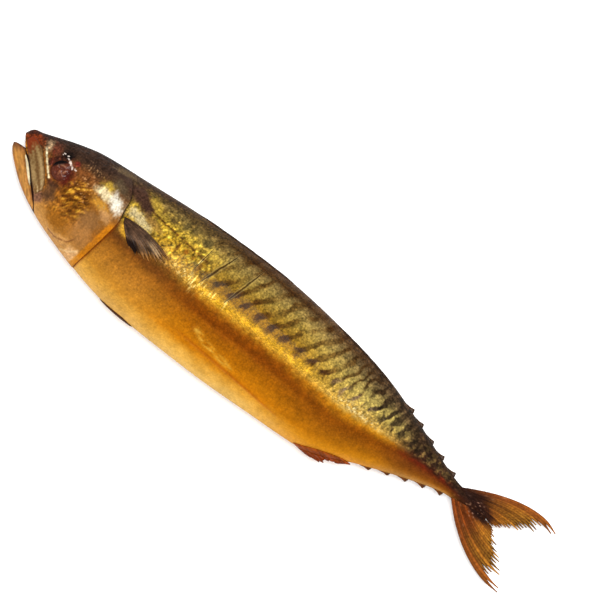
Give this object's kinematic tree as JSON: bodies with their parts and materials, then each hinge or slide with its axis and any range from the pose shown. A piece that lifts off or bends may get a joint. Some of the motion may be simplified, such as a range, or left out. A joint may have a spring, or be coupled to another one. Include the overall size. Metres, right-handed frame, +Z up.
{
  "type": "smoked fish",
  "caption": "Whole smoked mackerel with open jaws, folded fins and a forked tail, lying on its flank; food for kitchen, shop and table scenes.",
  "frame": {"origin": "centre of the bounding box in plan, on the surface the fish rests on", "axes": "+X from head to tail, +Y from belly to back, +Z up, out of the left flank"},
  "size_m": [0.3386, 0.07, 0.0426],
  "materials": {
    "smoked_skin": "oily golden-brown smoked skin, dark striped back, satin gloss"
  },
  "bodies": {
    "root": {"smoked_mackerel": "smoked_skin"}
  },
  "joints": []
}
